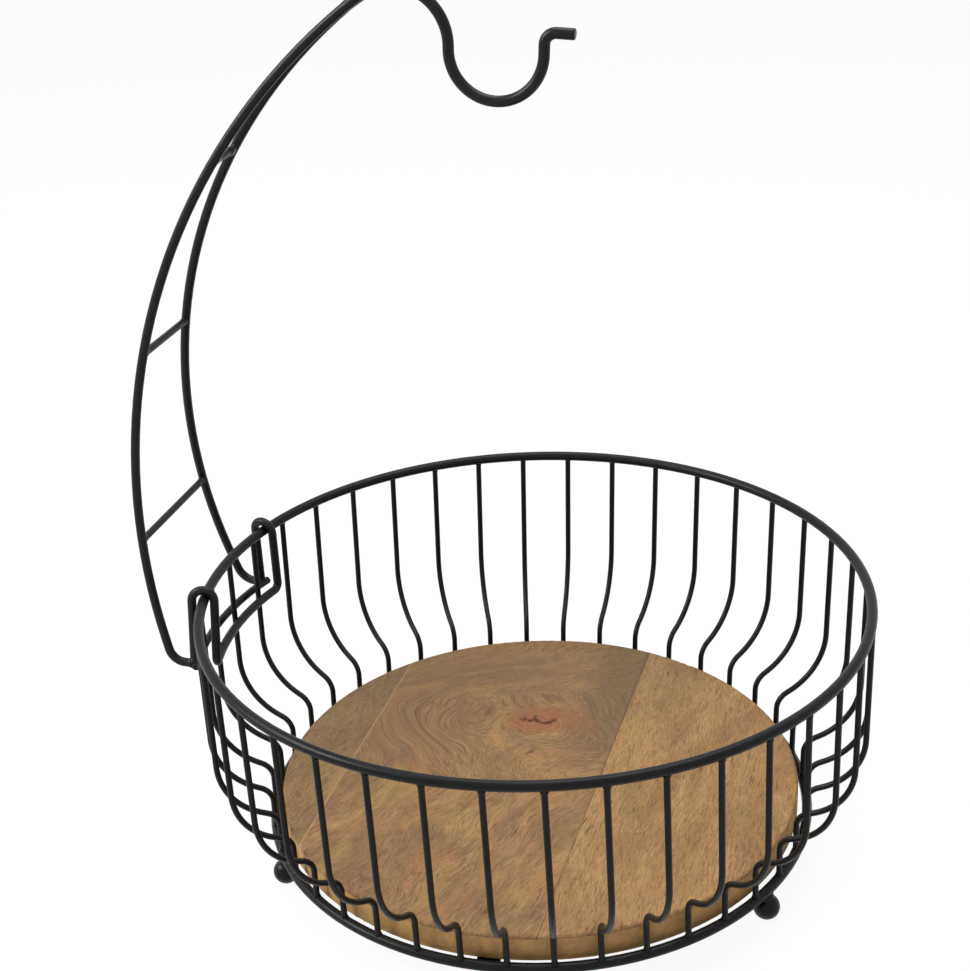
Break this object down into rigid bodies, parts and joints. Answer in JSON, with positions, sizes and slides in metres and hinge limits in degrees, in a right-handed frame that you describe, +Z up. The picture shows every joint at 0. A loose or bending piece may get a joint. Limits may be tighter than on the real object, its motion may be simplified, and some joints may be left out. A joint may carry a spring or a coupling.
{
  "type": "fruit bowl with banana hanger",
  "caption": "Round black wire fruit bowl with a wooden floor on ball feet and a hook-over banana hanger with a curved ladder frame.",
  "frame": {"origin": "the middle of the whole outline, bowl and hanger together, at the height of the table under the ball feet; the bowl's own axis stands 12.05 mm from it towards +X", "axes": "+Z up along the bowl's axis; the banana hanger stands at the -X side with its two halves mirrored about the XZ plane, and its hook reaches back over the bowl towards +X"},
  "size_m": [0.3186, 0.2944, 0.379],
  "materials": {
    "bowl_wire": "matte black powder coat on welded steel wire",
    "hanger_wire": "matte black powder coat on bent steel rod",
    "wood_floor": "oiled acacia-like brown wood with visible grain, satin",
    "screw_steel": "plain zinc-plated steel"
  },
  "bodies": {
    "root": {"rim_ring": "bowl_wire", "base_ring": "bowl_wire", "rib_01": "bowl_wire", "rib_02": "bowl_wire", "rib_03": "bowl_wire", "rib_04": "bowl_wire", "rib_05": "bowl_wire", "rib_06": "bowl_wire", "rib_07": "bowl_wire", "rib_08": "bowl_wire", "rib_09": "bowl_wire", "rib_10": "bowl_wire", "rib_11": "bowl_wire", "rib_12": "bowl_wire", "rib_13": "bowl_wire", "rib_14": "bowl_wire", "rib_15": "bowl_wire", "rib_16": "bowl_wire", "rib_17": "bowl_wire", "rib_18": "bowl_wire", "rib_19": "bowl_wire", "rib_20": "bowl_wire", "rib_21": "bowl_wire", "rib_22": "bowl_wire", "rib_23": "bowl_wire", "rib_24": "bowl_wire", "rib_25": "bowl_wire", "rib_26": "bowl_wire", "rib_27": "bowl_wire", "rib_28": "bowl_wire", "rib_29": "bowl_wire", "rib_30": "bowl_wire", "rib_31": "bowl_wire", "rib_32": "bowl_wire", "rib_33": "bowl_wire", "rib_34": "bowl_wire", "rib_35": "bowl_wire", "rib_36": "bowl_wire", "rib_37": "bowl_wire", "rib_38": "bowl_wire", "rib_39": "bowl_wire", "rib_40": "bowl_wire", "ball_foot_1": "bowl_wire", "ball_foot_2": "bowl_wire", "ball_foot_3": "bowl_wire", "floor_tab_1": "bowl_wire", "floor_tab_2": "bowl_wire", "floor_tab_3": "bowl_wire", "hanger_leg_near": "hanger_wire", "hanger_leg_far": "hanger_wire", "hanger_rung_lower": "hanger_wire", "hanger_rung_middle": "hanger_wire", "hanger_rung_upper": "hanger_wire", "hanger_hook": "hanger_wire", "hanger_clip_wire": "hanger_wire", "hanger_cross_wire": "hanger_wire", "floor_plank_left": "wood_floor", "floor_plank_middle": "wood_floor", "floor_plank_right": "wood_floor", "floor_screws": "screw_steel"}
  },
  "joints": []
}
